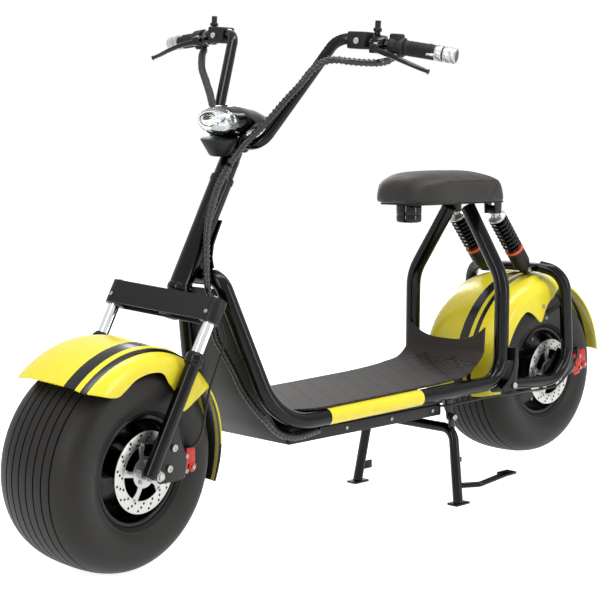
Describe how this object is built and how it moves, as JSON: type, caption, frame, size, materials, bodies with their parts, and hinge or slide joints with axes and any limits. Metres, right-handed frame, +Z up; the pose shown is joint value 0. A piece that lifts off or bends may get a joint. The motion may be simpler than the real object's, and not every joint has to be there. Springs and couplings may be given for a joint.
{
  "type": "electric moped with fat tyres",
  "caption": "Step-through electric moped with fat tyres, yellow fenders, high bar, single seat and a centre stand.",
  "frame": {"origin": "on the floor under the middle of the bounding box, the moped on its centre stand with its front wheel turned a little left", "axes": "+X forward, +Y to the rider's left, +Z up"},
  "size_m": [1.8776, 0.8351, 1.1954],
  "materials": {
    "gloss_black_paint": "gloss black paint on steel",
    "satin_black_paint": "satin black powder coat",
    "gloss_black_plastic": "gloss black moulded plastic",
    "yellow_plastic": "glossy lemon-yellow moulded plastic",
    "tyre_rubber": "matte charcoal rubber with fine rings",
    "mat_rubber": "matte dark rubber",
    "seat_vinyl": "dark grey vinyl, soft sheen",
    "chromed_steel": "bright chrome",
    "bright_steel": "satin machined steel",
    "red_caliper_paint": "red anodised look",
    "clear_lens": "clear plastic lens"
  },
  "bodies": {
    "root": {"frame_tube_left": "gloss_black_paint", "frame_tube_right": "gloss_black_paint", "head_tube": "gloss_black_paint", "spine_gusset": "gloss_black_paint", "spine_strip": "gloss_black_paint", "front_panel": "satin_black_paint", "battery_box": "satin_black_paint", "cross_tube_front": "gloss_black_paint", "cross_tube_rear": "gloss_black_paint", "deck_board": "mat_rubber", "seat": "seat_vinyl", "seat_plate": "satin_black_paint", "seat_canister": "gloss_black_paint", "pivot_bracket_left": "satin_black_paint", "pivot_bracket_right": "satin_black_paint", "swing_arm": "gloss_black_paint", "rear_axle": "bright_steel", "shock_body_left": "satin_black_paint", "shock_body_right": "satin_black_paint", "shock_spring_left": "gloss_black_paint", "shock_spring_right": "gloss_black_paint", "rear_fender": "yellow_plastic", "rear_caliper": "red_caliper_paint", "stand_bracket": "satin_black_paint"},
    "steering": {"steering_stem": "gloss_black_paint", "fork_crown": "satin_black_paint", "stanchion_left": "chromed_steel", "stanchion_right": "chromed_steel", "lower_leg_left": "gloss_black_paint", "lower_leg_right": "gloss_black_paint", "front_axle": "bright_steel", "front_caliper": "red_caliper_paint", "front_fender": "yellow_plastic", "handlebar": "gloss_black_paint", "bar_clamp": "gloss_black_paint", "grip_left": "mat_rubber", "grip_right": "mat_rubber", "grip_end_left": "chromed_steel", "grip_end_right": "chromed_steel", "switch_collar_left": "satin_black_paint", "switch_collar_right": "satin_black_paint", "lever_perch_left": "satin_black_paint", "lever_perch_right": "satin_black_paint", "brake_lever_left": "satin_black_paint", "brake_lever_right": "satin_black_paint", "headlight_housing": "gloss_black_plastic", "headlight_lens": "clear_lens"},
    "front_wheel": {"front_tyre": "tyre_rubber", "front_rim": "gloss_black_paint", "front_disc": "bright_steel"},
    "rear_wheel": {"rear_tyre": "tyre_rubber", "rear_hub_rim": "gloss_black_paint", "rear_disc": "bright_steel"},
    "stand": {"centre_stand": "gloss_black_paint"}
  },
  "joints": [
    {"name": "steering_turn", "type": "hinge", "parent": "root", "child": "steering", "pos_m": [0.702, 0.0125, 0.2241], "axis": [-0.4772, 0, 0.8788], "range_deg": [-43.85, 26.15]},
    {"name": "front_wheel_spin", "type": "hinge", "parent": "steering", "child": "front_wheel", "pos_m": [0.7089, 0.0137, 0.2279], "axis": [-0.1352, 0.9881, -0.0734], "continuous": true},
    {"name": "rear_wheel_spin", "type": "hinge", "parent": "root", "child": "rear_wheel", "pos_m": [-0.6775, 0.0125, 0.279], "axis": [0, 1, 0], "continuous": true},
    {"name": "stand_fold", "type": "hinge", "parent": "root", "child": "stand", "pos_m": [-0.251, 0.0125, 0.214], "axis": [0, 1, 0], "range_deg": [0, 70]}
  ]
}
